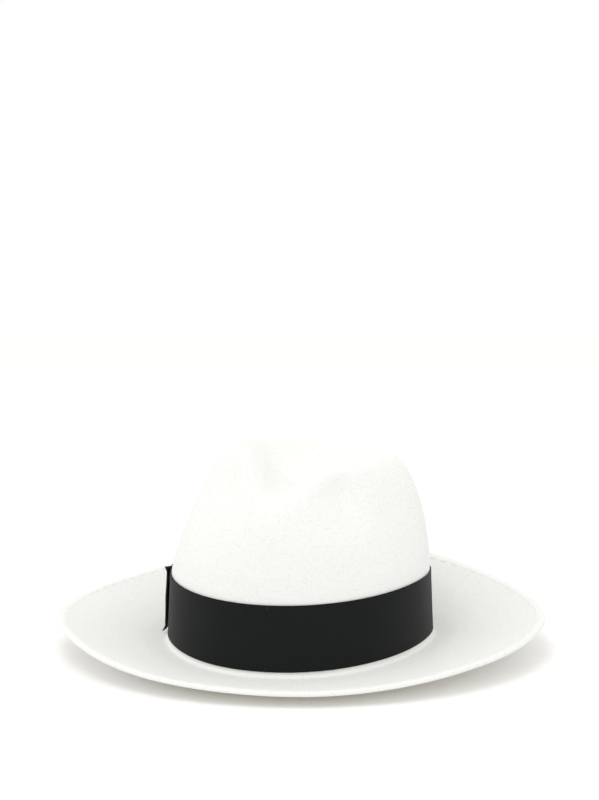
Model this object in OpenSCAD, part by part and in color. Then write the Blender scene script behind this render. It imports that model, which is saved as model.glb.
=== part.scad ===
// Panama hat: one woven straw body with a ribbon, a side bow and a leather sweatband.
// Front of the hat faces -Y, the wearer's right is -X, and the hat stands on Z = 0.
// Every fitted piece is laid along the same crown wall: a place on it is an angle round
// the hat (0 at the front, 90 at the wearer's left), a height above the brim break,
// and a distance outwards from the straw's outer face.

/* [Head opening] */
// Inside length of the head opening, front to back
head_l = 199; // [185:1:215]
// Inside width of the head opening
head_w = 167; // [155:1:182]

/* [Straw] */
// Thickness of the woven straw
straw_t = 1.3; // [0.9:0.1:2]
// Radius where the brim turns up into the crown
break_r = 3; // [2:0.5:5]
// How much lower the break is at the front and back than at the sides
break_saddle = 5.6; // [0:0.2:8]

/* [Brim] */
// Distance from the middle of the hat to the brim's front edge
brim_front = 162; // [145:1:185]
// Distance from the middle of the hat to the brim's back edge
brim_back = 148; // [140:1:185]
// Width of the brim
brim_w = 318; // [280:2:360]
// Rise of the brim's edge above the break at the back
brim_back_rise = 40; // [10:1:55]
// Rise of the brim's edge above the break at the front
brim_front_rise = -0.5; // [-6:0.5:10]
// Extra rise of the brim's edge at the two sides
brim_side_rise = 15; // [0:1:25]
// Exponent that keeps the front half flat and turns the back up
brim_snap = 4.5; // [1:0.1:6]
// Rise of the wearer's right front of the brim, and drop of the left, from hand shaping
brim_twist = 2.3; // [0:0.1:5]
// Width of the edge that is turned under and sewn
hem_w = 6; // [4:0.5:9]

/* [Crown] */
// Height of the two long ridges on top of the crown, above the break
crown_h = 120; // [95:1:135]
// Height of the crown's front crest
crest_h = 100; // [80:1:120]
// Height of the crown's back rim
rear_h = 115; // [90:1:130]
// Height of the bottom of the lengthwise dent
dent_h = 97; // [75:1:115]
// Distance from the middle of the crown to the front crest
crest_reach = 66; // [50:1:80]
// Distance from the middle of the crown to the side ridges
ridge_reach = 51; // [40:1:65]
// Distance from the middle of the crown to the back rim
rear_reach = 76; // [60:1:90]
// Angle over which the front crest widens between the pinches
beak_spread = 20; // [12:1:30]
// Angle of each front pinch, measured from the front
pinch_at = 38; // [25:1:60]
// Depth of each front pinch
pinch_depth = 6.5; // [3:0.5:12]
// Angle that the creases are turned towards the wearer's right, from hand shaping
crease_turn = 5; // [0:1:10]
// Distance that the top of the crown leans towards the wearer's left
crown_shift = 4; // [0:0.5:6]
// How much higher the wearer's right ridge stands than the left one
ridge_lean = 10; // [0:0.5:12]

/* [Ribbon and bow] */
// Height of the ribbon
ribbon_h = 40; // [25:1:50]
// Thickness of the ribbon
ribbon_t = 0.7; // [0.4:0.1:1.2]
// Inward lean of the crown over the ribbon's height at the front and back
lean_front = 4.8; // [0:0.2:8]
// Inward lean of the crown over the ribbon's height at the sides
lean_side = 1.9; // [0:0.2:6]
// Angle of the middle of the bow, on the wearer's right
bow_at = -93; // [-120:1:-60]
// Length of the bow along the ribbon
bow_l = 58; // [40:1:80]
// Width of the bow's middle wrap
knot_w = 11; // [8:0.5:16]

/* [Sweatband] */
// Height of the leather sweatband
sweat_h = 33; // [25:1:45]
// Thickness of the leather
leather_t = 0.9; // [0.6:0.1:1.4]
// Diameter of the reed along the sweatband's lower edge
reed_d = 2.2; // [1.6:0.1:3]
// Number of stitches that hold the sweatband
sweat_stitches = 64; // [40:2:90]

/* [Fit] */
// Clearance between neighbouring pieces
gap = 0.3; // [0.2:0.05:0.5]

/* [Hidden] */

round_n = 80;                                   // steps round the hat
fine = 0.02;                                    // step for finding a face's direction
sweat_in = straw_t + gap;                       // from the straw's outer face to the leather
break_a = head_l / 2 + leather_t + sweat_in;    // half length of the straw at the break
break_b = head_w / 2 + leather_t + sweat_in;    // half width of the straw at the break
ribbon_low = break_r + gap;                     // ribbon's lower edge above the break
band_top = ribbon_low + ribbon_h;               // top of the crown's straight band zone
bow_low = ribbon_low + 0.5;
bow_top = band_top - 0.5;
rest_z = break_saddle + straw_t;                // lifts the underside of the break to Z = 0
hem_t = 1.7 * straw_t;                          // turned edge is two layers of straw
stitch_t = 0.5;                                 // thickness of a thread

// ---- small helpers ----

// Middle value between the front, side and back of the hat, at angle p.
function around(p, front, side, back) =
    let (c = cos(p)) side + ((c > 0 ? front : back) - side) * c * c;

// Distance from the middle to an oval of half length a and half width b, at angle p.
function oval(p, a, b) = 1 / sqrt(pow(sin(p) / b, 2) + pow(cos(p) / a, 2));

// A smooth bump of height 1 at x = 0.
function bump(x, spread) = exp(-pow(x / spread, 2));

// A point on the cubic curve through four control points.
function bez(p, t) =
    pow(1 - t, 3) * p[0] + 3 * t * pow(1 - t, 2) * p[1] + 3 * t * t * (1 - t) * p[2] + pow(t, 3) * p[3];

// A place in space from an angle, a distance from the middle and a height.
function place(p, r_z) = [r_z[0] * sin(p) + crown_shift * max(0, (r_z[1] - band_top) / (crown_h - band_top)),
    -r_z[0] * cos(p), r_z[1] + rest_z];

// ---- the straw's outer face, from the brim's edge to the middle of the crown ----

function break_z(p) = -break_saddle * pow(cos(p), 2);
function off_front(p) = abs((p + crease_turn + 540) % 360 - 180);
function beak(p) = bump(off_front(p), beak_spread);
function pinch(p) = bump(pinch_at - off_front(p), 17);
function draw(p) = bump(pinch_at + 32 - off_front(p), 32);
function lean(p) = around(p, lean_front, lean_side, lean_front);
function lift(p) = pow((1 - cos(p)) / 2, brim_snap);
function edge_z(p) =
    brim_front_rise + (brim_back_rise - brim_front_rise) * lift(p) + brim_side_rise * pow(sin(p), 2)
    - brim_twist * sin(2 * p) * (cos(p) > 0 ? 1 : 0);
function edge_r(p) = oval(p, cos(p) > 0 ? brim_front : brim_back, brim_w / 2);

// Crown wall in the band zone: distance from the middle and height, h above the break.
function wall(p, h) = [oval(p, break_a, break_b) - lean(p) * h / band_top, break_z(p) + h];

// Ridge round the top of the crown.
function ridge(p) = [
    around(p, ridge_reach - 3, ridge_reach, rear_reach) + (crest_reach - ridge_reach + 3) * beak(p) - 6 * draw(p),
    around(p, crown_h - 3, crown_h, rear_h) - (crown_h - 3 - crest_h) * beak(p) + 0.6 * ridge_lean * cos(p + 120)];

// Brim, from the edge (t = 0) to the break (t = 1).
function brim_at(p, t) =
    let (e = edge_r(p), b = oval(p, break_a, break_b) + break_r,
        z0 = break_z(p), w = e - b)
    bez([[e, edge_z(p)], [e - 0.3 * w, z0 + (edge_z(p) - z0) * 0.55],
        [b + 0.35 * w, z0 + (edge_z(p) - z0) * 0.06], [b, z0]], t);

// The small round between brim and crown.
function fillet_at(p, t) =
    [oval(p, break_a, break_b) + break_r * (1 - sin(90 * t)), break_z(p) + break_r * (1 - cos(90 * t))];

// Crown side above the band, with the front pinches pressed in.
function side_at(p, t) =
    let (low = wall(p, band_top), top = ridge(p), rise = top[1] - low[1], k = 1 - 0.3 * pinch(p) - 0.4 * draw(p),
        q = bez([low, low + [-lean(p) * rise / band_top / 2, rise * 0.55 * k],
            top + [around(p, 14, 18, 17) * (1 - 0.4 * draw(p)) + 3 * pinch(p), -1], top], t))
    [q[0] - pinch_depth * pinch(p) * (bump(t - 0.66, 0.22) - bump(0.34, 0.22) * pow(t, 6)), q[1]];

// Top of the crown, from the ridge into the lengthwise dent.
function dent_at(p, t) =
    let (top = ridge(p), r = top[0])
    bez([top, [r - around(p, 14, 15, 16), top[1] + 0.5], [r * around(p, 0.62, 0.42, 0.66), dent_h],
        [0, dent_h]], t);

brim_n = 9;
fillet_n = 3;
band_n = 3;
side_n = 9;
dent_n = 7;
break_i = brim_n;
band_i = brim_n + fillet_n;
side_i = band_i + band_n;
ridge_i = side_i + side_n;
last_i = ridge_i + dent_n;

// Row i of the outer face at angle p; i may lie between two rows.
function row(p, i) =
    i < break_i ? brim_at(p, i / brim_n)
    : i < band_i ? fillet_at(p, (i - break_i) / fillet_n)
    : i < side_i ? wall(p, break_r + (band_top - break_r) * (i - band_i) / band_n)
    : i < ridge_i ? side_at(p, (i - side_i) / side_n)
    : dent_at(p, (i - ridge_i) / dent_n);
function outer(p, i) = place(p, row(p, i));

// Unit direction straight out of the outer face.
function out_dir(p, i) =
    let (j = min(max(i, fine), last_i - 0.3), a = outer(p + fine, j) - outer(p - fine, j),
        b = outer(p, j + fine) - outer(p, j - fine), n = cross(a, b))
    n / norm(n);
function shifted(p, i, d) = outer(p, i) + d * out_dir(p, i);

// A point on the crown wall: angle p, h above the break, d outwards from the outer face.
function on_wall(p, h, d) =
    let (s = place(p, wall(p, h)), a = place(p + fine, wall(p + fine, h)) - place(p - fine, wall(p - fine, h)),
        b = place(p, wall(p, h + 1)) - s, n = cross(a, b))
    s + d * n / norm(n);

// ---- solids from rings and patches ----

// Closed ring through a loop of points at each angle round the hat.
module ring_solid(loops) {
    m = len(loops[0]);
    n = len(loops);
    points = [for (l = loops) each l];
    faces = [for (i = [0:n - 1], j = [0:m - 1])
        let (a = i * m + j, b = i * m + (j + 1) % m, c = (i + 1) % n * m + (j + 1) % m, d = (i + 1) % n * m + j)
        each [[a, c, b], [a, d, c]]];
    polyhedron(points, faces);
}

// Closed strip with two ends.
module strip_solid(loops) {
    m = len(loops[0]);
    n = len(loops);
    points = [for (l = loops) each l];
    sides = [for (i = [0:n - 2], j = [0:m - 1])
        let (a = i * m + j, b = i * m + (j + 1) % m, c = (i + 1) * m + (j + 1) % m, d = (i + 1) * m + j)
        each [[a, c, b], [a, d, c]]];
    ends = [[for (j = [0:m - 1]) j], [for (j = [m - 1:-1:0]) (n - 1) * m + j]];
    polyhedron(points, concat(sides, ends));
}

// Section of a band on the crown wall between two heights and two offsets.
function band_loop(p, h0, h1, d0, d1) = [
    on_wall(p, h0, d0), on_wall(p, (h0 + h1) / 2, d0), on_wall(p, h1, d0),
    on_wall(p, h1, d1), on_wall(p, (h0 + h1) / 2, d1), on_wall(p, h0, d1)];

// Angle that spans a given length on the wall near the side of the hat.
function span(l) = l / break_b * 57.3 * 0.93;

// A short straight stitch from one place to another, as a thin bar.
module stitch(a, b) {
    v = b - a;
    l = norm(v);
    translate(a) rotate([0, acos(v[2] / l), atan2(v[1], v[0])])
        translate([-stitch_t / 2, -stitch_t / 2, 0]) cube([stitch_t, stitch_t, l]);
}

// ---- the pieces ----

// Crown and brim, woven in one piece; the brim's edge is turned under.
module straw_body() {
    inner = function (p, i) shifted(p, i, -(i < 1 ? hem_t : straw_t));
    angles = [for (k = [0:round_n - 1]) 360 * k / round_n - 180];
    // The middle row of each face closes on one point.
    top_o = place(0, [0, dent_h]);
    top_i = top_o - [0, 0, straw_t];
    n = round_n;
    m = last_i;
    points = concat(
        [for (i = [0:m - 1], p = angles) outer(p, i)],
        [for (i = [0:m - 1], p = angles) inner(p, i)],
        [top_o, top_i]);
    skin = [for (i = [0:m - 2], k = [0:n - 1])
        let (a = i * n + k, b = i * n + (k + 1) % n, c = a + n, d = b + n, o = m * n)
        each [[a, c, b], [b, c, d], [a + o, b + o, c + o], [b + o, d + o, c + o]]];
    edge = [for (k = [0:n - 1])
        let (a = k, b = (k + 1) % n, o = m * n) each [[a, b, a + o], [b, b + o, a + o]]];
    caps = [for (k = [0:n - 1])
        let (a = (m - 1) * n + k, b = (m - 1) * n + (k + 1) % n, o = m * n)
        each [[a, 2 * o, b], [a + o, b + o, 2 * o + 1]]];
    color("ivory") polyhedron(points, concat(skin, edge, caps));
}

// Wide ribbon round the foot of the crown.
module crown_ribbon() {
    color("#17191a") ring_solid([for (k = [0:round_n - 1])
        band_loop(360 * k / round_n, ribbon_low, band_top, gap, gap + ribbon_t)]);
}

ribbon_face = gap + ribbon_t;
tail_d = ribbon_face + gap;
loop_d = tail_d + ribbon_t + gap;
loop_t = 1.9;
knot_d = loop_d + loop_t + gap;

// How far a bow strip is drawn in towards its middle, u from -1 to 1.
function waist(u, open, tight) = tight + (open - tight) * pow(abs(u), 0.8);

// One flat strip of the bow, u from -1 to 1 along it.
module bow_strip(length, open, tight, d0, d1) {
    mid = (bow_low + bow_top) / 2;
    steps = 12;
    color("#121313") strip_solid([for (k = [0:steps])
        let (u = 2 * k / steps - 1, w = waist(u, open, tight) / 2, p = bow_at + span(length) * u / 2)
        band_loop(p, mid - w, mid + w, d0, d1)]);
}
module bow_tail() bow_strip(bow_l + 4, ribbon_h - 1, ribbon_h - 7, tail_d, tail_d + ribbon_t);
module bow_loop() bow_strip(bow_l, ribbon_h - 2, ribbon_h - 12, loop_d, loop_d + loop_t);
module bow_knot() {
    mid = (bow_low + bow_top) / 2;
    w = (ribbon_h - 4) / 2;
    color("#121313") strip_solid([for (k = [0:4])
        band_loop(bow_at + span(knot_w) * (k / 4 - 0.5), mid - w, mid + w, knot_d, knot_d + ribbon_t)]);
}

// Small stitches that tack the ribbon to the crown, near its two edges.
module ribbon_tacks() {
    d = ribbon_face + gap / 2 + stitch_t / 2;
    edge = 2;
    half = 0.8;
    color("#222425") for (p = [0:60:300], h = [ribbon_low + edge, band_top - edge])
        stitch(on_wall(p, h - half, d), on_wall(p, h + half, d));
}

sweat_face = sweat_in + leather_t;
sweat_low = reed_d + 2 * gap;

// Leather strip that the head bears on.
module sweatband() {
    color("tan") ring_solid([for (k = [0:round_n - 1])
        band_loop(360 * k / round_n, sweat_low, sweat_low + sweat_h, -sweat_face, -sweat_in)]);
}

// Round reed along the sweatband's lower edge.
module sweatband_reed() {
    sides = 8;
    r = reed_d / 2;
    color("wheat") ring_solid([for (k = [0:round_n - 1])
        let (p = 360 * k / round_n)
        [for (j = [0:sides - 1]) let (a = -360 * j / sides)
            on_wall(p, gap + r + r * sin(a), -sweat_in - r + r * cos(a))]]);
}

// Row of stitches that sews the sweatband to the straw.
module sweatband_stitches() {
    turn = 360 / sweat_stitches;
    h = sweat_low + 2.5;
    d = -sweat_face - gap / 2 - stitch_t / 2;
    color("beige") for (k = [0:sweat_stitches - 1])
        stitch(on_wall(k * turn, h, d), on_wall((k + 0.62) * turn, h, d));
}

// Strip that covers the butt joint of the leather at the back.
module sweatband_seam_tape() {
    color("#c9a878") strip_solid([for (k = [0:4])
        band_loop(180 + span(12) * (k / 4 - 0.5), sweat_low + 5, sweat_low + sweat_h - 1,
            -sweat_face - gap - 0.6, -sweat_face - gap)]);
}

bow_in_d = -sweat_face - 2 * gap - 0.6;

// Little bow at the back of the sweatband, the mark of the hat's back.
module lining_bow_loops() {
    mid = sweat_low + 12;
    steps = 10;
    color("#1d1f20") strip_solid([for (k = [0:steps])
        let (u = 2 * k / steps - 1, w = waist(u, 8, 3) / 2)
        band_loop(180 + span(26) * u / 2, mid - w, mid + w, bow_in_d - 1.4, bow_in_d)]);
}
module lining_bow_knot() {
    mid = sweat_low + 12;
    color("#1d1f20") strip_solid([for (k = [0:3])
        band_loop(180 + span(5) * (k / 3 - 0.5), mid - 2.6, mid + 2.6,
            bow_in_d - 1.4 - gap - 0.6, bow_in_d - 1.4 - gap)]);
}

// Blank tab tucked flat against the sweatband.
module size_tab() {
    color("white") strip_solid([for (k = [0:4])
        band_loop(140 + span(14) * (k / 4 - 0.5), sweat_low + 14, sweat_low + 24,
            -sweat_face - gap - 0.4, -sweat_face - gap)]);
}

// Thread that holds the turned edge, in a row of long stitches on the upper side.
module brim_hem_stitches() {
    count = 96;
    turn = 360 / count;
    i = hem_w / (brim_w - head_w) * 2 * brim_n;
    d = gap + stitch_t / 2;
    color("ivory") for (k = [0:count - 1])
        stitch(shifted(k * turn, i, d), shifted((k + 0.6) * turn, i, d));
}

straw_body();
crown_ribbon();
bow_tail();
bow_loop();
bow_knot();
ribbon_tacks();
sweatband();
sweatband_reed();
sweatband_stitches();
sweatband_seam_tape();
lining_bow_loops();
lining_bow_knot();
size_tab();
brim_hem_stitches();
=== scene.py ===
# %% [markdown]
# # A panama hat
# The hat is one woven straw body, blocked into a crown and a brim, with a wide
# grosgrain ribbon, a flat bow at the wearer's right and a leather sweatband inside.
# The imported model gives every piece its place. Here each piece gets the surface that
# the real one has. The first cell loads that model and keeps the size of its box.

# %% Load the frame
import math

import bpy
import numpy as np
from mathutils import Matrix, Vector


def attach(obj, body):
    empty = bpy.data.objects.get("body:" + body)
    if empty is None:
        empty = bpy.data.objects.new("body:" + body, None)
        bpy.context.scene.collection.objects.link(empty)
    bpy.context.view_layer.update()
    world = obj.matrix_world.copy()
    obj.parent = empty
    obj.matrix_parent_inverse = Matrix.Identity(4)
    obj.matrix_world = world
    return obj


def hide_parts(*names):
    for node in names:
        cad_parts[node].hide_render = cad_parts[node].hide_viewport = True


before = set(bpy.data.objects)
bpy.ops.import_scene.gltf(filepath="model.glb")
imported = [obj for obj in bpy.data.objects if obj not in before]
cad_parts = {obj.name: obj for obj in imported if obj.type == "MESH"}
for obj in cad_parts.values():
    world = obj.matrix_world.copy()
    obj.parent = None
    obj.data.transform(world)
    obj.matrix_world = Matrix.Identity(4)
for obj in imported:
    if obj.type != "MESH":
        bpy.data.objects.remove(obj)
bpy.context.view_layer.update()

MM = 0.001

# %% [markdown]
# # The hat's own sizes
# A hat has no straight edge to measure from, so every piece is laid along the same
# crown wall: a place on it is an angle round the hat (0 at the front, 90 at the
# wearer's left), a height above the brim break and a distance out from the straw.
# The sizes are in millimetres and are the ones the construction uses.

# %% Sizes
HEAD_L, HEAD_W = 199, 167
STRAW_T, BREAK_R, BREAK_SADDLE = 1.3, 3, 5.6
BRIM_FRONT, BRIM_BACK, BRIM_W = 162, 148, 318
BACK_RISE, FRONT_RISE, SIDE_RISE, BRIM_SNAP, BRIM_TWIST = 40, -0.5, 15, 4.5, 2.3
HEM_W, HEM_T = 6, 1.7 * STRAW_T
CROWN_H, CREST_H, REAR_H, DENT_H = 120, 100, 115, 97
CREST_REACH, RIDGE_REACH, REAR_REACH, BEAK_SPREAD = 66, 51, 76, 20
PINCH_AT, PINCH_DEPTH, CREASE_TURN, CROWN_SHIFT, RIDGE_LEAN = 38, 6.5, 5, 4, 10
RIBBON_H, RIBBON_T, LEAN_FRONT, LEAN_SIDE = 40, 0.7, 4.8, 1.9
BOW_AT, BOW_L, KNOT_W = -93, 58, 11
SWEAT_H, LEATHER_T, REED_D, SWEAT_STITCHES = 33, 0.9, 2.2, 64
GAP = 0.3
SWEAT_IN = STRAW_T + GAP
BREAK_A = HEAD_L / 2 + LEATHER_T + SWEAT_IN
BREAK_B = HEAD_W / 2 + LEATHER_T + SWEAT_IN
RIBBON_LOW = BREAK_R + GAP
BAND_TOP = RIBBON_LOW + RIBBON_H
REST_Z = BREAK_SADDLE + STRAW_T
FINE = 0.02

# %% [markdown]
# # The blocked shape as functions
# A hatter presses the wet straw over a block. The block here is a set of short
# curves: brim, break, band, crown side and dent, each one a profile that changes
# slowly round the hat. A function can be asked for any point, so the same block
# carries the straw, the ribbon, the bow, the leather and every stitch.

# %% The block
def around(p, front, side, back):
    c = np.cos(np.radians(p))
    return side + (np.where(c > 0, front, back) - side) * c * c


def oval(p, a, b):
    t = np.radians(p)
    return 1 / np.hypot(np.sin(t) / b, np.cos(t) / a)


def bump(x, spread):
    return np.exp(-((x / spread) ** 2))


def bezier(points, t):
    weights = ((1 - t) ** 3, 3 * t * (1 - t) ** 2, 3 * t * t * (1 - t), t**3)
    return [sum(w * q[k] for w, q in zip(weights, points)) for k in (0, 1)]


def place(p, r, z):
    t = np.radians(p)
    shift = CROWN_SHIFT * np.maximum(0, (z - BAND_TOP) / (CROWN_H - BAND_TOP))
    return np.stack([r * np.sin(t) + shift, -r * np.cos(t), z + REST_Z + 0 * t], axis=-1)


def break_z(p):
    return -BREAK_SADDLE * np.cos(np.radians(p)) ** 2


def creases(p):
    """How strongly the front crest, the pinch and the hollow behind it act at an angle."""
    off = np.abs((p + CREASE_TURN + 540) % 360 - 180)
    return bump(off, BEAK_SPREAD), bump(PINCH_AT - off, 17), bump(PINCH_AT + 32 - off, 32)


def edge_z(p):
    """Height of the brim's edge: it turns up at the back and rises at both sides."""
    t = np.radians(p)
    lift = ((1 - np.cos(t)) / 2) ** BRIM_SNAP
    twist = BRIM_TWIST * np.sin(2 * t) * (np.cos(t) > 0)
    return FRONT_RISE + (BACK_RISE - FRONT_RISE) * lift + SIDE_RISE * np.sin(t) ** 2 - twist


def lean(p):
    return around(p, LEAN_FRONT, LEAN_SIDE, LEAN_FRONT)


def wall(p, h):
    return oval(p, BREAK_A, BREAK_B) - lean(p) * h / BAND_TOP, break_z(p) + h


def ridge(p):
    beak, _, draw = creases(p)
    reach = around(p, RIDGE_REACH - 3, RIDGE_REACH, REAR_REACH)
    reach = reach + (CREST_REACH - RIDGE_REACH + 3) * beak - 6 * draw
    tilt = 0.6 * RIDGE_LEAN * np.cos(np.radians(p + 120))
    return reach, around(p, CROWN_H - 3, CROWN_H, REAR_H) - (CROWN_H - 3 - CREST_H) * beak + tilt


def brim_at(p, t):
    e = oval(p, np.where(np.cos(np.radians(p)) > 0, BRIM_FRONT, BRIM_BACK), BRIM_W / 2)
    b = oval(p, BREAK_A, BREAK_B) + BREAK_R
    z0, w = break_z(p), e - b
    rise = edge_z(p) - z0
    return bezier([[e, z0 + rise], [e - 0.3 * w, z0 + rise * 0.55],
                   [b + 0.35 * w, z0 + rise * 0.06], [b, z0]], t)


def fillet_at(p, t):
    turn = math.pi / 2 * t
    out = BREAK_R * (1 - math.sin(turn))
    return oval(p, BREAK_A, BREAK_B) + out, break_z(p) + BREAK_R * (1 - math.cos(turn))


def side_at(p, t):
    """Crown side above the band. The press of a finger fades to nothing at the ridge."""
    _, pinch, draw = creases(p)
    low, top = wall(p, BAND_TOP), ridge(p)
    rise = top[1] - low[1]
    k = 1 - 0.3 * pinch - 0.4 * draw
    handle = around(p, 14, 18, 17) * (1 - 0.4 * draw) + 3 * pinch
    r, z = bezier([low, [low[0] - lean(p) * rise / BAND_TOP / 2, low[1] + rise * 0.55 * k],
                   [top[0] + handle, top[1] - 1], top], t)
    pressed = bump(t - 0.66, 0.22) - bump(0.34, 0.22) * t**6
    return r - PINCH_DEPTH * pinch * pressed, z


def dent_at(p, t):
    r, z = ridge(p)
    return bezier([[r, z], [r - around(p, 14, 15, 16), z + 0.5],
                   [r * around(p, 0.62, 0.42, 0.66), DENT_H], [0, DENT_H]], t)


# A row is counted from the brim's edge: 9 steps of brim, 3 of break, 3 of band,
# 9 of crown side and 7 of dent.
BREAK_I, BAND_I, SIDE_I, RIDGE_I, LAST_I = 9, 12, 15, 24, 31


def block(p, i):
    """The outer face of the straw at angles p on row i, which may lie between two rows."""
    if i < BREAK_I:
        rz = brim_at(p, i / BREAK_I)
    elif i < BAND_I:
        rz = fillet_at(p, (i - BREAK_I) / (BAND_I - BREAK_I))
    elif i < SIDE_I:
        rz = wall(p, BREAK_R + (BAND_TOP - BREAK_R) * (i - BAND_I) / (SIDE_I - BAND_I))
    elif i < RIDGE_I:
        rz = side_at(p, (i - SIDE_I) / (RIDGE_I - SIDE_I))
    else:
        rz = dent_at(p, (i - RIDGE_I) / (LAST_I - RIDGE_I))
    return place(p, rz[0], rz[1] + 0 * p)


def unit(v):
    return v / np.linalg.norm(v, axis=-1, keepdims=True)


def out_of_block(p, i):
    """Directions straight out of the straw's outer face."""
    j = min(max(i, FINE), LAST_I - 0.3)
    along = block(p + FINE, j) - block(p - FINE, j)
    return unit(np.cross(along, block(p, j + FINE) - block(p, j - FINE)))


def on_wall(p, h, d):
    """A place on the crown wall, d millimetres out from the straw."""
    p, h, d = np.broadcast_arrays(*(np.asarray(x, float) for x in (p, h, d)))
    s = place(p, *wall(p, h))
    n = np.cross(place(p + FINE, *wall(p + FINE, h)) - place(p - FINE, *wall(p - FINE, h)),
                 place(p, *wall(p, h + 1)) - s)
    return s + d[..., None] * unit(n)


def span(length):
    """The angle that a length takes on the wall near the side of the hat."""
    return length / BREAK_B * 57.3 * 0.93


print("brim edge at the front, side and back", [round(float(edge_z(p)), 1) for p in (0, 90, 180)])

# %% [markdown]
# # Camera, light and floor
# The hat stands on a plain white floor and is seen from a little above the brim and
# slightly from the wearer's left. White surroundings give most of the light, as in a
# light tent, and one broad soft lamp above and a little to the left gives the crown its
# slow shading. Pale straw would turn plain white under more than that. The floor adds a
# little light of its own for the camera only, so it reads as white and still keeps the
# soft shadow under the brim.

# %% Camera
CAMERA_AZIMUTH, CAMERA_ELEVATION, CAMERA_AWAY = 12, 10, 1.0
CAMERA_LENS, CAMERA_SHIFT = 68.4, (-0.0023, 0.191)
LOOK_AT = Vector((0, 0, 0.0597))

bpy.ops.object.select_all(action="DESELECT")
a, e = math.radians(CAMERA_AZIMUTH), math.radians(CAMERA_ELEVATION)
back = Vector((math.sin(a) * math.cos(e), -math.cos(a) * math.cos(e), math.sin(e)))
bpy.ops.object.camera_add(location=LOOK_AT + back * CAMERA_AWAY)
camera = bpy.context.object
camera.rotation_mode = "QUATERNION"
camera.rotation_quaternion = (-back).to_track_quat("-Z", "Y")
camera.data.lens = CAMERA_LENS
camera.data.shift_x, camera.data.shift_y = CAMERA_SHIFT
camera.data.dof.use_dof = False
bpy.context.scene.camera = camera
bpy.context.scene.view_settings.view_transform = "Standard"
print("camera at", [round(x, 3) for x in camera.location])

# %% Small helpers for nodes
class Graph:
    """A short way to write a node tree: numbers or sockets go in, a socket comes out."""

    def __init__(self, tree):
        self.tree = tree

    def node(self, kind, inputs=(), **settings):
        made = self.tree.nodes.new(kind)
        for name, value in settings.items():
            setattr(made, name, value)
        for key, value in dict(inputs).items():
            self.feed(made.inputs[key], value)
        return made

    def feed(self, socket, value):
        if isinstance(value, bpy.types.NodeSocket):
            self.tree.links.new(value, socket)
        else:
            socket.default_value = value

    def math(self, operation, *values, clamp=False):
        made = self.node("ShaderNodeMath", enumerate(values), operation=operation, use_clamp=clamp)
        return made.outputs[0]

    def ramp(self, value, low, high, to_low=0.0, to_high=1.0):
        """Value stretched from low..high to to_low..to_high, and stopped there."""
        made = self.node("ShaderNodeMapRange", enumerate((value, low, high, to_low, to_high)))
        return made.outputs[0]

    def mix(self, factor, first, second):
        made = self.node("ShaderNodeMix", {0: factor, 6: first, 7: second}, data_type="RGBA")
        return made.outputs[2]

    def xyz(self, vector):
        return self.node("ShaderNodeSeparateXYZ", {0: vector}).outputs

    def vector(self, x, y, z=0.0):
        return self.node("ShaderNodeCombineXYZ", {0: x, 1: y, 2: z}).outputs[0]

    def noise(self, vector, scale, detail=2.0):
        made = self.node("ShaderNodeTexNoise", {"Vector": vector, "Scale": scale, "Detail": detail})
        return made.outputs[0]

    def white(self, x, y=0.0):
        return self.node("ShaderNodeTexWhiteNoise", {"Vector": self.vector(x, y)}).outputs["Value"]

    def group(self, tree, **inputs):
        made = self.node("ShaderNodeGroup", node_tree=tree)
        for name, value in inputs.items():
            self.feed(made.inputs[name.replace("_", " ")], value)
        return made.outputs


def new_group(name, inputs, outputs):
    tree = bpy.data.node_groups.new(name, "ShaderNodeTree")
    for label, kind in inputs:
        tree.interface.new_socket(name=label, in_out="INPUT", socket_type=kind)
    for label in outputs:
        tree.interface.new_socket(name=label, in_out="OUTPUT", socket_type="NodeSocketFloat")
    graph = Graph(tree)
    return graph, graph.node("NodeGroupInput").outputs, graph.node("NodeGroupOutput").inputs


def new_material(name):
    made = bpy.data.materials.new(name)
    made.use_nodes = True
    shader = made.node_tree.nodes["Principled BSDF"]
    return made, Graph(made.node_tree), shader


# %% Floor and surroundings
FLOOR_COLOUR = (0.88, 0.885, 0.91, 1)
FLOOR_GLOW, FLOOR_GLOW_STRENGTH = (1.0, 0.93, 0.68, 1), 0.19
ROOM_LIGHT = 0.94


def floor_material():
    made, g, shader = new_material("pale_floor")
    shader.inputs["Base Color"].default_value = FLOOR_COLOUR
    shader.inputs["Roughness"].default_value = 0.9
    shader.inputs["Specular IOR Level"].default_value = 0.0
    path = g.node("ShaderNodeLightPath").outputs
    seen = g.math("MAXIMUM", path["Is Camera Ray"], path["Is Glossy Ray"])
    shader.inputs["Emission Color"].default_value = FLOOR_GLOW
    g.feed(shader.inputs["Emission Strength"], g.math("MULTIPLY", seen, FLOOR_GLOW_STRENGTH))
    return made


bpy.ops.mesh.primitive_plane_add(size=14, location=(0, 0, -0.0002))
floor = bpy.context.object
floor.name = "floor"
floor.data.materials.append(floor_material())

world = bpy.data.worlds.new("white_room")
bpy.context.scene.world = world
world.use_nodes = True
room = Graph(world.node_tree)
sky = world.node_tree.nodes["Background"]
sky.inputs["Color"].default_value = (1, 1, 1, 1)
ray = room.node("ShaderNodeLightPath").outputs
straight = room.math("MAXIMUM", ray["Is Camera Ray"], ray["Is Glossy Ray"])
room.feed(sky.inputs["Strength"], room.math("MULTIPLY_ADD", straight, 1 - ROOM_LIGHT, ROOM_LIGHT))


def soft_lamp(name, location, aim, size, watts):
    bpy.ops.object.light_add(type="AREA", location=location)
    lamp = bpy.context.object
    lamp.name = name
    lamp.data.shape = "DISK"
    lamp.data.size = size
    lamp.data.energy = watts
    lamp.rotation_mode = "QUATERNION"
    lamp.rotation_quaternion = (Vector(aim) - Vector(location)).to_track_quat("-Z", "Y")
    return lamp


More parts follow.
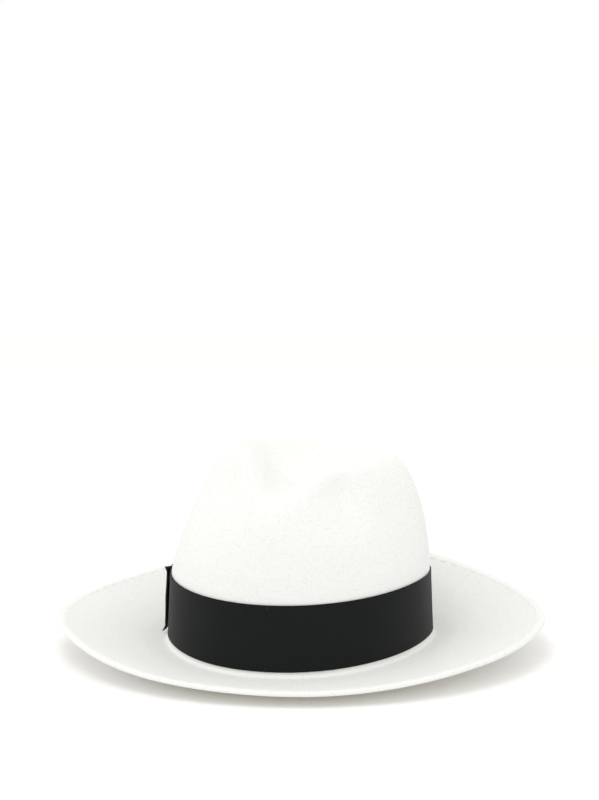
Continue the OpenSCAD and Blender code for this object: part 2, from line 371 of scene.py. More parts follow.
soft_lamp("key_lamp", (-0.3, -0.55, 2.2), aim=(0, 0, 0.06), size=1.2, watts=8)
soft_lamp("side_strip", (-1.5, 0.35, 0.5), aim=(0, 0, 0.05), size=0.5, watts=0.6)
print("floor, surroundings and two soft lamps")

# %% [markdown]
# # Woven straw as a node group
# The straw is plaited: flat strands pass over and under each other in small squares,
# and a pinhole stays at the corners where four of them meet. Tape, labels and other
# woven goods share that pattern at their own scale, so it is one group. It is given a
# place counted in strands, and gives back the height, the pinholes and a tone for each
# strand. An image would blur or repeat, and real strands would need millions of faces.

# %% Weave group
def build_weave():
    g, given, out = new_group("plain_weave", [("Cells", "NodeSocketVector")], ["Height", "Hole", "Tone"])
    x, y, _ = g.xyz(given["Cells"])
    fx, fy = g.math("FRACT", x), g.math("FRACT", y)
    ix, iy = g.math("FLOOR", x), g.math("FLOOR", y)
    crossing = g.math("FLOORED_MODULO", g.math("ADD", ix, iy), 2.0)
    bx = g.math("SINE", g.math("MULTIPLY", fx, math.pi))
    by = g.math("SINE", g.math("MULTIPLY", fy, math.pi))

    def strand(across, along):
        crown = g.math("POWER", g.math("MAXIMUM", across, 0.0), 0.5)
        return g.math("MULTIPLY", crown, g.math("MULTIPLY_ADD", along, 0.5, 0.5))

    def either(first, second):
        return g.math("ADD", g.math("MULTIPLY", first, g.math("SUBTRACT", 1.0, crossing)),
                      g.math("MULTIPLY", second, crossing))

    g.feed(out["Height"], either(strand(by, bx), strand(bx, by)))
    # The pinhole mask marks where the materials paint shade into the gaps between strands.
    corner = g.math("ADD", g.math("ABSOLUTE", g.math("SUBTRACT", fx, 0.5)),
                    g.math("ABSOLUTE", g.math("SUBTRACT", fy, 0.5)))
    luck = g.math("POWER", g.white(g.math("ROUND", x), g.math("ROUND", y)), 6.0)
    g.feed(out["Hole"], g.math("MULTIPLY", g.ramp(corner, 0.66, 0.92), luck))
    g.feed(out["Tone"], either(g.white(iy, 3.0), g.white(ix, 7.0)))
    return g.tree


WEAVE = build_weave()
print("node group", WEAVE.name, "with", len(WEAVE.nodes), "nodes")

# %% [markdown]
# # Bleached straw
# Bleached toquilla straw is nearly white and a little warm, dull with a faint gloss on
# the back of each strand. No two strands have the same tone, and rows woven on
# different days show as faint bands round the crown. All of that comes from the weave
# group, one slow noise and one noise along the rows.

# %% Straw material
STRAW_LIGHT, STRAW_DARK = (0.968, 0.967, 0.942, 1), (0.936, 0.933, 0.895, 1)
# PINHOLE_SHADE is painted shade: the darker colour that the gaps at the strand corners are given.
PINHOLE_SHADE = (0.50, 0.47, 0.40, 1)


def straw_material():
    made, g, shader = new_material("bleached_straw")
    cells = g.node("ShaderNodeUVMap", uv_map="UVMap").outputs[0]
    weave = g.group(WEAVE, Cells=cells)
    _, row, _ = g.xyz(cells)
    bands = g.noise(g.vector(0.0, g.math("MULTIPLY", row, 0.22)), 1.0)
    place_on_hat = g.node("ShaderNodeTexCoord").outputs["Object"]
    slow = g.noise(place_on_hat, 14.0)
    tone = g.math("MULTIPLY_ADD", weave["Tone"], 0.45, g.math("MULTIPLY", bands, 0.35))
    tone = g.math("ADD", tone, g.math("MULTIPLY", slow, 0.2), clamp=True)
    colour = g.mix(tone, STRAW_LIGHT, STRAW_DARK)
    # Painted shade: the pinholes are darkened in the base colour.
    g.feed(shader.inputs["Base Color"], g.mix(weave["Hole"], colour, PINHOLE_SHADE))
    g.feed(shader.inputs["Roughness"], g.ramp(weave["Tone"], 0.0, 1.0, 0.5, 0.72))
    shader.inputs["Specular IOR Level"].default_value = 0.12
    grit = g.noise(place_on_hat, 2600.0)
    height = g.math("MULTIPLY_ADD", grit, 0.15, weave["Height"])
    relief = g.node("ShaderNodeBump", {"Strength": 0.5, "Distance": 0.0002, "Height": height})
    g.feed(shader.inputs["Normal"], relief.outputs[0])
    return made


STRAW = straw_material()
print("material", STRAW.name)

# %% [markdown]
# # Laying a sheet on the block
# Straw, ribbon and leather are all sheets bent over the block. Each starts as a flat
# grid primitive, and its points are then moved to their places on the block, which
# keeps the rows and columns that a weaver or a ribbon has. Sculpting or simulation
# could press a sheet over a block too, but it would slide off the exact sizes.
# Edges that meet are merged, and a modifier adds the thickness.

# %% Sheet helpers
def only(ob):
    bpy.ops.object.select_all(action="DESELECT")
    ob.select_set(True)
    bpy.context.view_layer.objects.active = ob


def lay_sheet(name, points, uv, strands=None):
    """A grid laid on points[row, column] in millimetres. strands counts the cells round each row."""
    rows, cols = points.shape[0] - 1, points.shape[1] - 1
    bpy.ops.object.select_all(action="DESELECT")
    bpy.ops.mesh.primitive_grid_add(x_subdivisions=cols, y_subdivisions=rows, size=1)
    ob = bpy.context.object
    ob.name = ob.data.name = name
    mesh = ob.data
    flat = np.empty(len(mesh.vertices) * 3)
    mesh.vertices.foreach_get("co", flat)
    flat = flat.reshape(-1, 3)
    col = np.rint((flat[:, 0] + 0.5) * cols).astype(int)
    row = np.rint((flat[:, 1] + 0.5) * rows).astype(int)
    mesh.vertices.foreach_set("co", (points[row, col] * MM).ravel())
    corner = np.empty(len(mesh.loops), int)
    mesh.loops.foreach_get("vertex_index", corner)
    spots = np.array(uv[row[corner], col[corner]])
    if strands is not None:
        face_row = row[corner].reshape(-1, 4).min(axis=1).repeat(4)
        spots[:, 0] *= strands[face_row]
    mesh.uv_layers.active.name = "UVMap"
    mesh.uv_layers.active.data.foreach_set("uv", spots.ravel())
    mesh.update()
    return ob


def close_up(ob, merge=1e-6):
    """Merges the edges that meet and turns all faces the same way."""
    only(ob)
    bpy.ops.object.mode_set(mode="EDIT")
    bpy.ops.mesh.select_all(action="SELECT")
    bpy.ops.mesh.remove_doubles(threshold=merge)
    bpy.ops.mesh.normals_make_consistent(inside=False)
    bpy.ops.object.mode_set(mode="OBJECT")


def apply_modifier(ob, kind, **settings):
    only(ob)
    added = ob.modifiers.new(kind.lower(), kind)
    for name, value in settings.items():
        setattr(added, name, value)
    bpy.ops.object.modifier_apply(modifier=added.name)


def thicken(ob, thickness, soft=0.12):
    """Gives a sheet its thickness in millimetres and takes the sharpness off its edges."""
    apply_modifier(ob, "SOLIDIFY", thickness=thickness * MM, offset=0.0)
    apply_modifier(ob, "BEVEL", width=soft * MM, segments=2, limit_method="ANGLE",
                   angle_limit=math.radians(60))


def settle(ob, material, slot, *nodes):
    """Last steps for every piece: smooth faces, a material, its body and what it stands for."""
    only(ob)
    bpy.ops.object.shade_smooth_by_angle(angle=math.radians(42))
    ob.data.materials.clear()
    ob.data.materials.append(material)
    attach(ob, "root")
    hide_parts(*nodes)
    print(ob.name, len(ob.data.polygons), "faces")
    return ob


# %% [markdown]
# # The straw body
# Crown and brim are woven in one piece, from a small rosette in the middle of the
# crown out to the brim's edge, which is turned under and held by a row of thread. The
# sheet is laid as one closed profile: the outer face from rosette to edge, round the
# turned edge, along the hem, and back under the brim and up inside the crown. As on
# the real hat, strands are added in rings where the cloth grows wider, and hand
# shaping leaves the brim and crown a little uneven, with the front of the brim lifted
# and its lip turned down.

# %% Straw body
ROUND = 288
STRAND = 1.2
STRAND_COUNTS = np.array([8, 16, 24, 32, 48, 64, 96, 128, 192, 256, 384, 512, 768])
ROLL_STEPS = 6
BRIM_LIFT, LIP_DROP = 3.4, 1.5
HEM_I = HEM_W / (BRIM_W - HEAD_W) * 2 * BREAK_I    # the row where the turned edge ends

angles = np.linspace(-180, 180, ROUND + 1)


def unevenness(p, i):
    """Small waves that hand shaping leaves, in millimetres; none where the ribbon lies."""
    t = np.radians(p)
    front = np.clip(1.6 * np.cos(t), 0, 1)
    snap = BRIM_LIFT * front * np.clip(1 - i / 6, 0, 1) ** 1.5
    lip = LIP_DROP * np.clip(1 - i / 0.7, 0, 1) ** 2
    on_brim = np.clip((7.5 - i) / 4, 0, 1)
    on_crown = np.clip((i - 16.5) / 3, 0, 1) * np.clip((LAST_I - 1 - i) / 3, 0, 1)
    brim_wave = 0.30 * np.sin(5 * t + 0.9 + 0.10 * i) + 0.22 * np.sin(8 * t + 2.3 - 0.25 * i)
    crown_wave = 0.30 * np.sin(4 * t + 0.7 * i) + 0.25 * np.sin(7 * t - 0.9 * i + 1.3)
    crown_wave = crown_wave + 0.15 * np.sin(11 * t + 1.7 * i)
    return on_brim * brim_wave + snap - lip + on_crown * crown_wave


def straw_row(i, d):
    """One ring of the straw on row i, d millimetres out from the block."""
    if i >= LAST_I:
        return np.repeat(place(np.zeros(1), 0.0, DENT_H + d), ROUND + 1, axis=0)
    return block(angles, i) + (d + unevenness(angles, i))[:, None] * out_of_block(angles, i)


def straw_profile():
    """Rings of the whole sheet, from the rosette over the crown and brim and back inside."""
    def steps(first, last, count):
        return list(np.linspace(first, last, count, endpoint=False))

    edge_i = 0.14
    outer = (steps(LAST_I, RIDGE_I, 30) + steps(RIDGE_I, SIDE_I, 36) + steps(SIDE_I, BAND_I, 6)
             + steps(BAND_I, BREAK_I, 6) + steps(BREAK_I, 0.8, 24) + steps(0.8, edge_i, 6))
    rings = [straw_row(i, 0.0) for i in outer]
    middle, tip = straw_row(edge_i, -HEM_T / 2), straw_row(0.0, -HEM_T / 2)
    up, forward = unit(straw_row(edge_i, 0.0) - middle), unit(tip - middle)
    for turn in np.linspace(0, math.pi, ROLL_STEPS + 1):
        rings.append(middle + HEM_T / 2 * (math.cos(turn) * up + math.sin(turn) * forward))
    for i in (0.25, 0.4, 0.55, HEM_I - 0.06, HEM_I - 0.02):
        rings.append(straw_row(i, -HEM_T))
    for i, d in ((HEM_I, -0.86 * HEM_T), (HEM_I + 0.01, -STRAW_T)):
        rings.append(straw_row(i, d))
    under = [i for i in outer[::-1] if i > HEM_I + 0.1]
    return np.stack(rings + [straw_row(i, -STRAW_T) for i in under])


rings = straw_profile()
reach = np.linalg.norm(np.diff(rings, axis=0), axis=2).mean(axis=1)
along = np.concatenate([[0], np.cumsum(reach)]) / STRAND
girth = np.linalg.norm(np.diff(rings, axis=1), axis=2).sum(axis=1)
wanted = (girth[:-1] + girth[1:]) / 2 / STRAND
strands = STRAND_COUNTS[np.abs(np.log(np.maximum(wanted, 1)[:, None] / STRAND_COUNTS)).argmin(axis=1)]
turn_share = np.linspace(0, 1, ROUND + 1)
straw_uv = np.stack(np.broadcast_arrays(turn_share[None, :], along[:, None]), axis=-1)
straw = lay_sheet("straw_body_woven", rings, straw_uv, strands.astype(float))
close_up(straw)
settle(straw, STRAW, "straw", "straw_body")
print("rows", len(rings), "strands round the brim's edge", int(strands.max()))

# %% [markdown]
# # Grosgrain as a node group
# Hat ribbon is grosgrain: thick threads run across it under a close silky warp, which
# makes fine ribs from edge to edge, and a flat selvedge of about a millimetre closes
# each side. The wide ribbon, its bow and the small bow inside share it. The place is
# given in millimetres along and across the ribbon.

# %% Grosgrain group
def build_grosgrain():
    labels = [("Place", "NodeSocketVector"), ("Rib", "NodeSocketFloat"), ("Half width", "NodeSocketFloat")]
    g, given, out = new_group("grosgrain", labels, ["Height", "Tone", "Selvedge"])
    x, y, _ = g.xyz(given["Place"])
    count = g.math("DIVIDE", x, given["Rib"])
    rib = g.math("SINE", g.math("MULTIPLY", g.math("FRACT", count), math.pi))
    warp = g.math("SINE", g.math("MULTIPLY", y, 2 * math.pi / 0.32))
    inside = g.math("SUBTRACT", given["Half width"], g.math("ABSOLUTE", y))
    selvedge = g.ramp(inside, 0.7, 1.1, 1.0, 0.0)
    round_rib = g.math("POWER", g.math("MAXIMUM", rib, 0.0), 0.6)
    ribs = g.math("MULTIPLY", round_rib, g.math("SUBTRACT", 1.0, selvedge))
    g.feed(out["Height"], g.math("MULTIPLY_ADD", warp, 0.12, g.math("MULTIPLY_ADD", selvedge, 0.8, ribs)))
    g.feed(out["Tone"], g.white(g.math("FLOOR", count), 5.0))
    g.feed(out["Selvedge"], selvedge)
    return g.tree


GROSGRAIN = build_grosgrain()


def ribbon_material(name, dark, pale, rib, half_width):
    made, g, shader = new_material(name)
    spot = g.node("ShaderNodeUVMap", uv_map="UVMap").outputs[0]
    cloth = g.group(GROSGRAIN, Place=spot, Rib=rib, Half_width=half_width)
    cloud = g.noise(g.node("ShaderNodeTexCoord").outputs["Object"], 22.0)
    tone = g.math("MULTIPLY_ADD", cloth["Tone"], 0.12, g.math("MULTIPLY", cloud, 0.6))
    tone = g.math("ADD", tone, g.math("MULTIPLY", cloth["Selvedge"], 0.15), clamp=True)
    g.feed(shader.inputs["Base Color"], g.mix(tone, dark, pale))
    g.feed(shader.inputs["Roughness"], g.ramp(cloud, 0.3, 0.7, 0.50, 0.58))
    shader.inputs["Specular IOR Level"].default_value = 0.09
    shader.inputs["Sheen Weight"].default_value = 0.012
    shader.inputs["Sheen Roughness"].default_value = 0.35
    relief = g.node("ShaderNodeBump", {"Strength": 0.35, "Distance": 0.0002, "Height": cloth["Height"]})
    g.feed(shader.inputs["Normal"], relief.outputs[0])
    return made


RIBBON = ribbon_material("black_grosgrain", (0.0072, 0.0088, 0.0080, 1), (0.0115, 0.0135, 0.0125, 1),
                         rib=0.9, half_width=RIBBON_H / 2)
print("node group", GROSGRAIN.name, "and material", RIBBON.name)

# %% [markdown]
# # The wide ribbon
# The ribbon is drawn tight round the foot of the crown, so it follows the straw
# closely and only its two edges stand off by a hair. Its ends meet under the bow. It
# is a flat strip laid on the crown wall, then thickened.

# %% Ribbon
def strip_uv(lengths, half_width, rows):
    """A place in millimetres along and across a ribbon for each point of its grid."""
    across = np.linspace(-half_width, half_width, rows)
    return np.stack(np.broadcast_arrays(lengths[None, :], across[:, None]), axis=-1)


def running_length(points):
    """Length along the middle row of a grid of points."""
    line = points[points.shape[0] // 2]
    return np.concatenate([[0], np.cumsum(np.linalg.norm(np.diff(line, axis=0), axis=1))])


RIBBON_ROWS = 15
ribbon_face = GAP + RIBBON_T
p = np.linspace(BOW_AT, BOW_AT + 360, ROUND + 1)[None, :]
v = np.linspace(-1, 1, RIBBON_ROWS)[:, None]
t = np.radians(p)
stand_off = 0.10 * v**6 * (1 + np.sin(9 * t + v))
points = on_wall(p, RIBBON_LOW + RIBBON_H * (v + 1) / 2, GAP + RIBBON_T / 2 + stand_off)
lengths = running_length(points)
ribbon = lay_sheet("crown_ribbon_grosgrain", points, strip_uv(lengths, RIBBON_H / 2, RIBBON_ROWS))
close_up(ribbon)
thicken(ribbon, 0.6)
settle(ribbon, RIBBON, "ribbon", "crown_ribbon")
print("ribbon length in mm", round(float(lengths[-1]), 1))

# %% [markdown]
# # The bow
# The bow is made from the same ribbon: a flat tail underneath with notched ends, a
# closed loop pressed flat over it, and a short wrap that gathers both in the middle.
# The gather pulls pleats into the ribbon, and the free corners of the tail curl away
# from the hat. The loop is a real closed loop, with a back, two rounded folds and a
# slightly full front. Cloth simulation would round it like a balloon, and pressed
# ribbon isn't, so its curve is drawn.

# %% Bow tail and loop
bow_mid = RIBBON_LOW + RIBBON_H / 2
TAIL_D = ribbon_face + GAP
LOOP_D = TAIL_D + RIBBON_T + GAP
LOOP_T = 1.9
KNOT_D = LOOP_D + LOOP_T + GAP
FOLD_R = 0.45


def waist(u, wide, tight):
    return tight + (wide - tight) * np.abs(u) ** 0.8


def tail_points(at, length, wide, tight, d, notch, curl, mid, rows=17, cols=49):
    v = np.linspace(-1, 1, rows)[:, None]
    u = np.linspace(-1, 1, cols)[None, :]
    end = 1 - notch * (1 - np.abs(v))
    half = waist(u, wide, tight) / 2
    lift = curl * np.abs(u) ** 4.5 * np.abs(v) ** 4
    return on_wall(at + span(length) * u * end / 2, mid + half * v, d + lift)


def loop_points(at, length, wide, tight, d, full, pleat, mid, rows=17):
    v = np.linspace(-1, 1, rows)[:, None]
    end = 1 - FOLD_R / (length / 2)
    back_u = np.linspace(-end, end, 31)
    fold = np.linspace(-90, 90, 9)[1:-1]
    front_u = back_u[::-1]
    us = np.concatenate([back_u, end + (1 - end) * np.cos(np.radians(fold)), front_u,
                         -end - (1 - end) * np.cos(np.radians(fold))])
    ds = np.concatenate([np.zeros(31), FOLD_R * (1 + np.sin(np.radians(fold))), np.full(31, 2 * FOLD_R),
                         FOLD_R * (1 - np.sin(np.radians(fold)))])
    front = np.concatenate([np.zeros(31 + 7), np.ones(31), np.zeros(7)])
    us, ds, front = (np.append(x, x[0])[None, :] for x in (us, ds, front))
    puff = full * np.sin(np.pi * np.abs(us).clip(0, 1)) * (1 - 0.92 * np.abs(v) ** 1.5)
    folds = pleat * (1 - np.abs(us)).clip(0, 1) ** 1.5 * np.cos(3 * np.pi * v)
    half = waist(us, wide, tight) / 2
    return on_wall(at + span(length) * us / 2, mid + half * v, d + ds + front * (puff + folds))


def bow_piece(name, points, half_width, thickness, material, slot, node):
    lengths = running_length(points)
    ob = lay_sheet(name, points, strip_uv(lengths, half_width, points.shape[0]))
    close_up(ob)
    thicken(ob, thickness, 0.08)
    settle(ob, material, slot, node)
    return ob


TAIL_CURL, TAIL_NOTCH = 3.2, 0.17
tail = bow_piece("bow_tail_grosgrain",
                 tail_points(BOW_AT, BOW_L + 4, RIBBON_H + 3, RIBBON_H - 7, TAIL_D + RIBBON_T / 2,
                             TAIL_NOTCH, TAIL_CURL, bow_mid),
                 RIBBON_H / 2, 0.55, RIBBON, "ribbon", "bow_tail")
loop = bow_piece("bow_loop_grosgrain",
                 loop_points(BOW_AT, BOW_L, RIBBON_H - 5, RIBBON_H - 13, LOOP_D + 0.25, 1.6, 0.25, bow_mid),
                 RIBBON_H / 2, 0.45, RIBBON, "ribbon", "bow_loop")

# %% Bow wrap
def knot_points(at, width, half, d, depth, mid, pleat, cols=17):
    """A short band over the middle of a bow, turned back behind it at both ends."""
    u = np.linspace(-1, 1, cols)[None, :]
    h = np.concatenate([np.full(3, -half), np.linspace(-1, 1, 25)[1:-1] * (half - 0.2), np.full(3, half)])
    back = np.concatenate([[depth, depth * 0.55, 0.35], np.zeros(23), [0.35, depth * 0.55, depth]])
    cup = 0.25 * np.abs(u) ** 3
    folds = pleat * np.cos(2.5 * np.pi * u)
    return on_wall(at + span(width) * u / 2, mid + h[:, None], d - back[:, None] - cup + folds)


knot_grid = knot_points(BOW_AT, KNOT_W, (RIBBON_H - 4) / 2, KNOT_D + RIBBON_T / 2 + 0.05, 2.3, bow_mid, 0.13)
bow_piece("bow_knot_grosgrain", knot_grid.transpose(1, 0, 2), KNOT_W / 2, 0.5, RIBBON, "ribbon",
          "bow_knot")

# %% [markdown]
# # Thread
# Thread is a twisted cord of fine strands. Where it lies as a stitch, only a short
# rounded bar shows, so one bar is modelled, with its ends drawn down to the cloth, and
# copied to each place. The twist is in the material, which also paints shade into the
# grooves between the plies.

# %% Thread and stitches
def thread_material(name, pale, dark, scale=1.0):
    made, g, shader = new_material(name)
    x, y, _ = g.xyz(g.node("ShaderNodeUVMap", uv_map="UVMap").outputs[0])
    turns = g.math("MULTIPLY_ADD", y, 7.0 * scale, g.math("MULTIPLY", x, 3.0))
    twist = g.math("ABSOLUTE", g.math("SINE", g.math("MULTIPLY", turns, math.pi)))
    cloud = g.noise(g.node("ShaderNodeTexCoord").outputs["Object"], 400.0)
    tone = g.math("MULTIPLY_ADD", twist, 0.6, g.math("MULTIPLY", cloud, 0.4), clamp=True)
    # Painted shade: the colour follows the twist, darker in the grooves between the plies and paler on their
    # crowns.
    g.feed(shader.inputs["Base Color"], g.mix(tone, dark, pale))
    g.feed(shader.inputs["Roughness"], g.ramp(twist, 0.0, 1.0, 0.75, 0.5))
    relief = g.node("ShaderNodeBump", {"Strength": 0.5, "Distance": 0.00015, "Height": twist})
    g.feed(shader.inputs["Normal"], relief.outputs[0])
    return made


STRAW_THREAD = thread_material("straw_thread", (0.955, 0.952, 0.922, 1), (0.905, 0.90, 0.855, 1))
PALE_THREAD = thread_material("pale_thread", (0.80, 0.74, 0.60, 1), (0.52, 0.45, 0.32, 1))
DARK_THREAD = thread_material("dark_thread", (0.026, 0.029, 0.028, 1), (0.010, 0.012, 0.011, 1))


def one_stitch(thickness, length):
    """A bar along X with round ends, in metres, drawn down a little at both ends."""
    bpy.ops.object.select_all(action="DESELECT")
    bpy.ops.mesh.primitive_cylinder_add(vertices=8, radius=thickness / 2, depth=length * 0.7,
                                        end_fill_type="NGON", rotation=(0, math.pi / 2, 0))
    ob = bpy.context.object
    bpy.ops.object.transform_apply(location=False, rotation=True, scale=False)
    for side in (-1, 1):
        bpy.ops.object.mode_set(mode="EDIT")
        bpy.ops.mesh.select_all(action="DESELECT")
        bpy.ops.object.mode_set(mode="OBJECT")
        for face in ob.data.polygons:
            face.select = face.normal.x * side > 0.9
        bpy.ops.object.mode_set(mode="EDIT")
        bpy.ops.mesh.select_mode(type="FACE")
        for out, down, shrink in ((0.11, 0.12, 0.8), (0.06, 0.2, 0.45)):
            bpy.ops.mesh.extrude_region_move(
                TRANSFORM_OT_translate={"value": (side * length * out, 0, -thickness * down)})
            bpy.ops.transform.resize(value=(1, shrink, shrink))
        bpy.ops.object.mode_set(mode="OBJECT")
    return ob


def stitch_row(name, starts, ends, outs, thickness, material, slot, node):
    """Copies one stitch to each place, with its back turned outwards, and joins the row."""
    length = float(np.linalg.norm(ends - starts, axis=1).mean()) * MM
    pattern = one_stitch(thickness * MM, length)
    copies = []
    for a, b, n in zip(starts, ends, outs):
        x = Vector(b - a).normalized()
        z = Vector(n).normalized()
        y = z.cross(x).normalized()
        turn = Matrix((x, y, x.cross(y))).transposed().to_4x4()
        copy = pattern.copy()
        copy.data = pattern.data.copy()
        copy.data.transform(Matrix.Translation(Vector((a + b) / 2 * MM)) @ turn)
        bpy.context.collection.objects.link(copy)
        copies.append(copy)
    bpy.data.objects.remove(pattern)
    only(copies[0])
    for copy in copies:
        copy.select_set(True)
    bpy.ops.object.join()
    ob = bpy.context.object
    ob.name = ob.data.name = name
    return settle(ob, material, slot, node)


def wall_out(p, h):
    return on_wall(p, h, 1.0) - on_wall(p, h, 0.0)


# The hem thread lies on the upper side of the brim, above the turned edge.
HEM_STITCHES, HEM_STITCH_LIFT = 96, 0.05
starts_p = np.arange(HEM_STITCHES) * 360 / HEM_STITCHES
ends_p = starts_p + 0.6 * 360 / HEM_STITCHES


def on_brim(p):
    n = out_of_block(p, HEM_I)
    return block(p, HEM_I) + (HEM_STITCH_LIFT + unevenness(p, HEM_I))[:, None] * n, n


(hem_a, hem_n), (hem_b, _) = on_brim(starts_p), on_brim(ends_p)
stitch_row("brim_hem_thread", hem_a, hem_b, hem_n, 0.34,
           STRAW_THREAD, "straw_thread", "brim_hem_stitches")

# Tacks near both edges of the ribbon keep it from sliding.
tack_p = np.repeat(np.arange(0, 360, 60), 2).astype(float)
tack_h = np.tile([RIBBON_LOW + 2, BAND_TOP - 2], 6)
tack_d = ribbon_face + 0.12
stitch_row("ribbon_tack_thread", on_wall(tack_p, tack_h - 0.8, tack_d), on_wall(tack_p, tack_h + 0.8, tack_d),
           wall_out(tack_p, tack_h), 0.34, DARK_THREAD, "dark_thread", "ribbon_tacks")

# The sweatband is sewn along its foot.
sweat_face = SWEAT_IN + LEATHER_T
sweat_low = REED_D + 2 * GAP
sew_p = np.arange(SWEAT_STITCHES) * 360 / SWEAT_STITCHES
sew_end = sew_p + 0.62 * 360 / SWEAT_STITCHES
sew_h, sew_d = sweat_low + 2.5, -sweat_face - 0.14
stitch_row("sweatband_thread", on_wall(sew_p, sew_h, sew_d), on_wall(sew_end, sew_h, sew_d),
           -wall_out(sew_p, np.full(SWEAT_STITCHES, sew_h)), 0.42,
           PALE_THREAD, "pale_thread", "sweatband_stitches")

# %% [markdown]
# # The sweatband
# A strip of thin tan leather lines the head opening, with its two ends butted at the
# back, a tape over the joint and a cord of reed wound with cloth along its foot, which
# keeps the leather off the brim break. Leather has pores and fine creases, a darker
# cut edge and a pressed line near the top, which the material draws from the place on
# the strip.

# %% Leather material
def leather_material():
    made, g, shader = new_material("tan_sweat_leather")
    x, y, _ = g.xyz(g.node("ShaderNodeUVMap", uv_map="UVMap").outputs[0])
    where = g.node("ShaderNodeTexCoord").outputs["Object"]
    pores = g.node("ShaderNodeTexVoronoi", {"Vector": where, "Scale": 1100.0}).outputs["Distance"]
    creases_in = g.noise(where, 260.0, 6.0)
    cloud = g.noise(where, 35.0, 3.0)
    top_line = g.ramp(g.math("ABSOLUTE", g.math("SUBTRACT", y, SWEAT_H / 2 - 2.5)), 0.15, 0.45, 1.0, 0.0)
    cut_edge = g.ramp(g.math("ABSOLUTE", y), SWEAT_H / 2 - 0.5, SWEAT_H / 2, 0.0, 1.0)
    tone = g.math("MULTIPLY_ADD", cloud, 0.7, g.math("MULTIPLY", pores, 0.4), clamp=True)
    colour = g.mix(tone, (0.60, 0.37, 0.20, 1), (0.44, 0.25, 0.125, 1))
    dark = g.math("MAXIMUM", g.math("MULTIPLY", top_line, 0.6), g.math("MULTIPLY", cut_edge, 0.7))
    g.feed(shader.inputs["Base Color"], g.mix(dark, colour, (0.24, 0.13, 0.065, 1)))
    g.feed(shader.inputs["Roughness"], g.ramp(creases_in, 0.3, 0.7, 0.42, 0.62))
    height = g.math("MULTIPLY_ADD", pores, 0.6, g.math("MULTIPLY", creases_in, 0.8))
    height = g.math("SUBTRACT", height, g.math("MULTIPLY", top_line, 0.9))
    relief = g.node("ShaderNodeBump", {"Strength": 0.4, "Distance": 0.0003, "Height": height})
    g.feed(shader.inputs["Normal"], relief.outputs[0])
    return made


def woven_material(name, pale, dark, scale, rough=0.75):
    """Small woven goods, from the weave group at their own thread size."""
    made, g, shader = new_material(name)
    x, y, _ = g.xyz(g.node("ShaderNodeUVMap", uv_map="UVMap").outputs[0])
    weave = g.group(WEAVE, Cells=g.vector(g.math("DIVIDE", x, scale), g.math("DIVIDE", y, scale)))
    cloud = g.noise(g.node("ShaderNodeTexCoord").outputs["Object"], 120.0)
    tone = g.math("MULTIPLY_ADD", weave["Tone"], 0.5, g.math("MULTIPLY", cloud, 0.5), clamp=True)
    # Painted shade: the pinholes between the threads are darkened towards the dark colour.
    hole_shade = g.math("MULTIPLY", weave["Hole"], 0.5)
    g.feed(shader.inputs["Base Color"], g.mix(hole_shade, g.mix(tone, pale, dark), dark))
    g.feed(shader.inputs["Roughness"], g.ramp(weave["Tone"], 0.0, 1.0, rough - 0.06, rough + 0.06))
    relief = g.node("ShaderNodeBump", {"Strength": 0.5, "Distance": 0.0002, "Height": weave["Height"]})
    g.feed(shader.inputs["Normal"], relief.outputs[0])
    return made


LEATHER = leather_material()
REED = woven_material("reed_cover", (0.74, 0.66, 0.48, 1), (0.55, 0.46, 0.30, 1), 0.5)
TAPE = woven_material("seam_tape", (0.58, 0.42, 0.24, 1), (0.44, 0.30, 0.16, 1), 0.4, 0.6)
TAB = woven_material("blank_woven_tab", (0.86, 0.86, 0.83, 1), (0.74, 0.74, 0.70, 1), 0.28, 0.6)
SMALL_RIBBON = ribbon_material("narrow_black_ribbon", (0.009, 0.010, 0.010, 1), (0.018, 0.020, 0.020, 1),
                               rib=0.5, half_width=4)
print("leather, reed, tape, tab and narrow ribbon")

# %% Sweatband, reed, tape and tab
SWEAT_ROWS = 15
JOINT = 0.25
p = np.linspace(-180 + JOINT, 180 - JOINT, ROUND + 1)[None, :]
v = np.linspace(-1, 1, SWEAT_ROWS)[:, None]
ease = 0.12 * np.sin(6 * np.radians(p)) * ((v + 1) / 2) ** 3
points = on_wall(p, sweat_low + SWEAT_H * (v + 1) / 2, -SWEAT_IN - LEATHER_T / 2 - np.abs(ease))
sweat_lengths = running_length(points)
sweatband = lay_sheet("sweatband_leather", points, strip_uv(sweat_lengths, SWEAT_H / 2, SWEAT_ROWS))
close_up(sweatband)
thicken(sweatband, LEATHER_T - 0.05, 0.15)
settle(sweatband, LEATHER, "sweat_leather", "sweatband")

REED_SIDES = 12
p = np.linspace(-180, 180, ROUND + 1)[None, :]
turn = np.linspace(0, 2 * np.pi, REED_SIDES + 1)[:, None]
r = REED_D / 2
points = on_wall(p, GAP + r + r * np.sin(turn), -SWEAT_IN - r + r * np.cos(turn))
reed_uv = np.stack(np.broadcast_arrays(running_length(points)[None, :], turn * r), axis=-1)
reed = lay_sheet("sweatband_reed_cord", points, reed_uv)
close_up(reed)
settle(reed, REED, "reed_cover", "sweatband_reed")


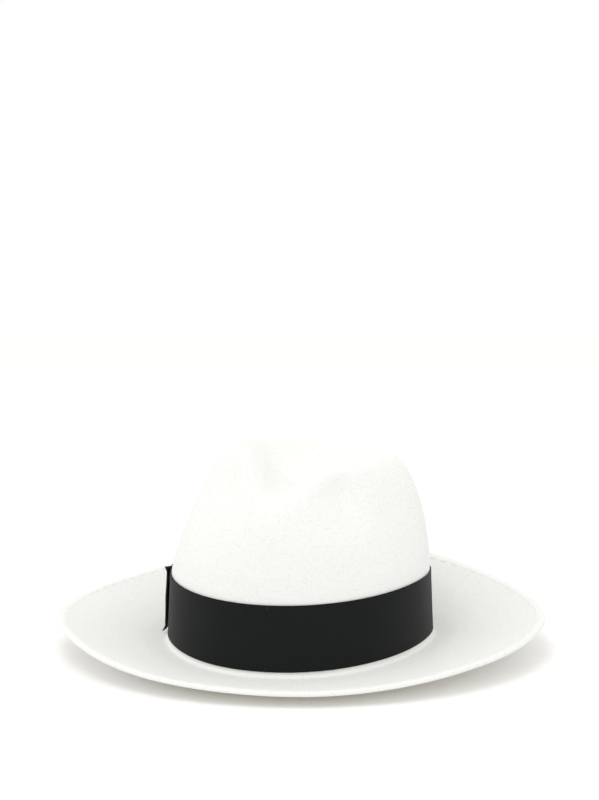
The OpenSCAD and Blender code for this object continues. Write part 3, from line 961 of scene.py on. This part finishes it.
def small_strip(name, at, length, low, high, d, thickness, material, slot, node):
    p = at + span(length) * np.linspace(-0.5, 0.5, 17)[None, :]
    h = np.linspace(low, high, 13)[:, None]
    points = on_wall(p, h, d)
    ob = lay_sheet(name, points, strip_uv(running_length(points), (high - low) / 2, 13))
    close_up(ob)
    thicken(ob, thickness, 0.1)
    settle(ob, material, slot, node)


small_strip("seam_tape_woven", 180, 12, sweat_low + 5, sweat_low + SWEAT_H - 1,
            -sweat_face - GAP - 0.3, 0.5, TAPE, "seam_tape", "sweatband_seam_tape")
small_strip("size_tab_woven", 140, 14, sweat_low + 14, sweat_low + 24, -sweat_face - GAP - 0.2, 0.36,
            TAB, "blank_tab", "size_tab")

# %% [markdown]
# # The small bow inside
# A narrow ribbon bow at the back of the sweatband marks the hat's back. It is made
# like the large one, a flat loop and a wrap, at a quarter of the size, and its front
# faces the head.

# %% Inner bow
IN_D = -sweat_face - 2 * GAP - 0.6
in_mid = sweat_low + 12


def inward_loop(at, length, wide, tight, d, mid, rows=9):
    """A flat loop that stands inwards from the wall, fuller on the side that faces the head."""
    v = np.linspace(-1, 1, rows)[:, None]
    turn = np.linspace(0, 2 * np.pi, 49)[None, :]
    u = np.cos(turn)
    full = 0.5 * np.abs(np.sin(2 * turn)) * (np.sin(turn) < 0)
    depth = 0.55 * (1 - np.sin(turn)) / 2 + full
    half = waist(u, wide, tight) / 2
    return on_wall(at + span(length) * u / 2, mid + half * v, d - 0.15 - depth)


bow_piece("lining_bow_loop_ribbon", inward_loop(180, 26, 8, 3, IN_D, in_mid), 4, 0.3, SMALL_RIBBON,
          "lining_ribbon", "lining_bow_loops")
wrap_d = IN_D - 1.4 - GAP - 0.3
u = np.linspace(-1, 1, 11)[None, :]
h = np.linspace(-2.6, 2.6, 13)[:, None]
small_wrap = on_wall(180 + span(5) * u / 2, in_mid + h, wrap_d + 0.5 * (np.abs(h) / 2.6) ** 6)
bow_piece("lining_bow_wrap_ribbon", small_wrap.transpose(1, 0, 2), 2.5, 0.35, SMALL_RIBBON,
          "lining_ribbon", "lining_bow_knot")
